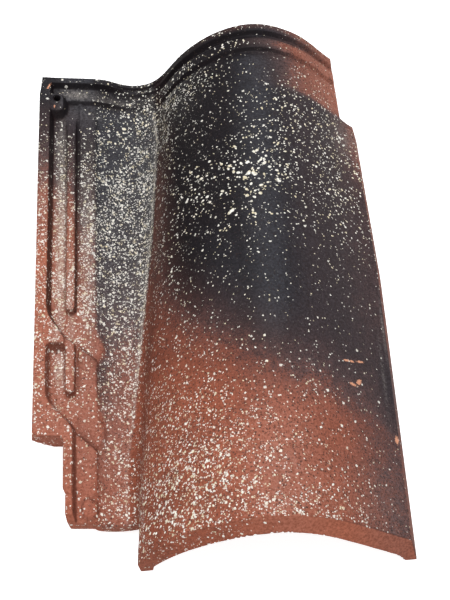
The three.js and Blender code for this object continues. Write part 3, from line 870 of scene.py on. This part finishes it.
def firedClay():
    material = bpy.data.materials.new("firedClay")
    material.use_nodes = True
    tree = material.node_tree
    shader = tree.nodes["Principled BSDF"]
    place = addNode(tree, "ShaderNodeTexCoord").outputs["Object"]
    share = {name: addNode(tree, "ShaderNodeAttribute", attribute_name=name).outputs["Fac"]
             for name in layerNames}

    def cloud(scale, detail, roughness=0.5):
        return noiseNode(tree, place, scale, detail, roughness).outputs[0]

    fine = cloud(520, 3, 0.7)
    colour, smoke, grain = firedColour(tree, share, cloud, fine)
    colour, slip = speckedColour(tree, place, share, cloud, fine, colour)
    chip = maths(tree, "MULTIPLY", scuffMask(tree, place, grain), share["top"])
    colour = mixColour(tree, chip, colour, clay["chip"])
    tree.links.new(colour, shader.inputs["Base Color"])

    rough = maths(tree, "MULTIPLY_ADD", smoke, -0.10, 0.60)
    rough = maths(tree, "MULTIPLY_ADD", slip, 0.2, rough)
    rough = maths(tree, "MULTIPLY_ADD", fine, 0.12, rough)
    tree.links.new(rough, shader.inputs["Roughness"])
    shader.inputs["Specular IOR Level"].default_value = 0.12
    height = maths(tree, "MULTIPLY_ADD", slip, 0.9, maths(tree, "MULTIPLY", fine, 0.9))
    bump = addNode(tree, "ShaderNodeBump", {
        "Height": height, "Strength": 0.35, "Distance": 0.35 * mm})
    tree.links.new(bump.outputs[0], shader.inputs["Normal"])
    return material


# Drops of slip that stand up from the surface.
drops = {
    "Density": 60000.0,  # a square metre, where their share is 1
    "Smallest": 0.38 * mm,
    "Largest": 1.65 * mm,
    "Rise": 0.26,  # of the radius
    "Stretch": 0.6,
    "Ragged": 0.30,  # of the largest radius
    "Sway": 0.6,  # how far a drop may turn from the way it was thrown, in radians
    "Thrown From": (0.040, 0.050, 0.2),  # drops are drawn out away from here
    "Segments": 8,
    "Rings": 4,
    "Seed": 31,
}


def slipMaterial():
    material = bpy.data.materials.new("thrownSlip")
    material.use_nodes = True
    tree = material.node_tree
    shader = tree.nodes["Principled BSDF"]
    place = addNode(tree, "ShaderNodeTexCoord").outputs["Object"]
    grain = noiseNode(tree, place, 700, 3).outputs[0]
    age = mapped(tree, noiseNode(tree, place, 160, 1).outputs[0], 0.4, 0.65, 0, 1)
    colour = mixColour(tree, age, clay["slip"], clay["old slip"])
    colour = scaled(tree, colour, mapped(tree, grain, 0.3, 0.7, 0.8, 1.06))
    tree.links.new(colour, shader.inputs["Base Color"])
    shader.inputs["Roughness"].default_value = 0.7
    shader.inputs["Specular IOR Level"].default_value = 0.3
    bump = addNode(tree, "ShaderNodeBump", {
        "Height": grain, "Strength": 0.4, "Distance": 0.3 * mm})
    tree.links.new(bump.outputs[0], shader.inputs["Normal"])
    return material


def dropTree(material):
    tree = geometryTree("slipDrops", drops)
    given = addNode(tree, "NodeGroupInput").outputs
    place = addNode(tree, "GeometryNodeInputPosition").outputs[0]

    def field(name):
        return addNode(tree, "GeometryNodeInputNamedAttribute", {"Name": name},
                       data_type="FLOAT").outputs[0]

    def between(low, high, offset):
        seed = maths(tree, "ADD", given["Seed"], offset)
        return addNode(tree, "FunctionNodeRandomValue", {2: low, 3: high, 8: seed},
                       data_type="FLOAT").outputs[1]

    density = maths(tree, "MULTIPLY", field("drops"), given["Density"])
    scatter = addNode(tree, "GeometryNodeDistributePointsOnFaces", {
        "Mesh": given["Geometry"], "Density": density, "Seed": given["Seed"],
    }, distribute_method="RANDOM").outputs
    chance = maths(tree, "POWER", between(0.0, 1.0, 1), 2.8)  # few drops are large
    largest = maths(tree, "MULTIPLY", given["Largest"], field("dropSize"))
    span = maths(tree, "SUBTRACT", largest, given["Smallest"])
    radius = maths(tree, "MULTIPLY_ADD", chance, span, given["Smallest"])
    stretch = maths(tree, "MULTIPLY_ADD", given["Stretch"], between(0.0, 1.0, 2), 1.0)
    length = maths(tree, "MULTIPLY", radius, stretch)
    height = maths(tree, "MULTIPLY", radius, given["Rise"])
    size = addNode(tree, "ShaderNodeCombineXYZ", {0: length, 1: radius, 2: height}).outputs[0]
    outward = vectorMaths(tree, "SUBTRACT", place, given["Thrown From"])
    drawn = addNode(tree, "FunctionNodeAlignRotationToVector", {
        "Rotation": scatter["Rotation"], "Vector": outward}, axis="X", pivot_axis="Z").outputs[0]
    least = maths(tree, "MULTIPLY", given["Sway"], -1.0)
    spin = addNode(tree, "ShaderNodeCombineXYZ", {2: between(least, given["Sway"], 3)}).outputs[0]
    turned = addNode(tree, "FunctionNodeRotateRotation", {0: drawn, 1: spin},
                     rotation_space="LOCAL").outputs[0]
    ball = addNode(tree, "GeometryNodeMeshUVSphere", {
        "Segments": given["Segments"], "Rings": given["Rings"], "Radius": 1.0}).outputs[0]
    placed = addNode(tree, "GeometryNodeInstanceOnPoints", {
        "Points": scatter["Points"], "Instance": ball, "Rotation": turned, "Scale": size})
    real = addNode(tree, "GeometryNodeRealizeInstances", {0: placed.outputs[0]}).outputs[0]
    wave = noiseNode(tree, place, 620, 1.0).outputs["Color"]
    reach = maths(tree, "MULTIPLY", given["Largest"], given["Ragged"])
    shift = scaled(tree, vectorMaths(tree, "SUBTRACT", wave, (0.5, 0.5, 0.5)), reach)
    moved = addNode(tree, "GeometryNodeSetPosition", {"Geometry": real, "Offset": shift})
    done = addNode(tree, "GeometryNodeSetMaterial", {
        "Geometry": moved.outputs[0], "Material": material})
    addNode(tree, "NodeGroupOutput", {0: done.outputs[0]})
    return tree


def makeDrops(tile):
    piece = linkMesh("dropsDraft", tile.data.copy())
    addTree(piece, dropTree(slipMaterial()), drops)
    mesh = finishedMesh(piece)
    for name in layerNames + ["drops", "dropSize"]:
        if name in mesh.attributes:
            mesh.attributes.remove(mesh.attributes[name])
    keepInside(mesh)
    mesh.shade_smooth()
    mesh.name = "slip_drops"
    print("slip: drops of", len(mesh.polygons), "faces in all")
    return linkMesh("slip_drops", mesh)


makeCamera()
makeLights()
makeWorld()
makeFloor()
print("camera and studio are up")
tile = makeTile()
paintTile(tile.data)
tile.data.materials.append(firedClay())
splashes = makeDrops(tile)
for piece in (tile, splashes):
    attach(piece, "root")
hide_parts("roof_tile")
print("tile and slip are in place")

scene.view_settings.view_transform = "Standard"
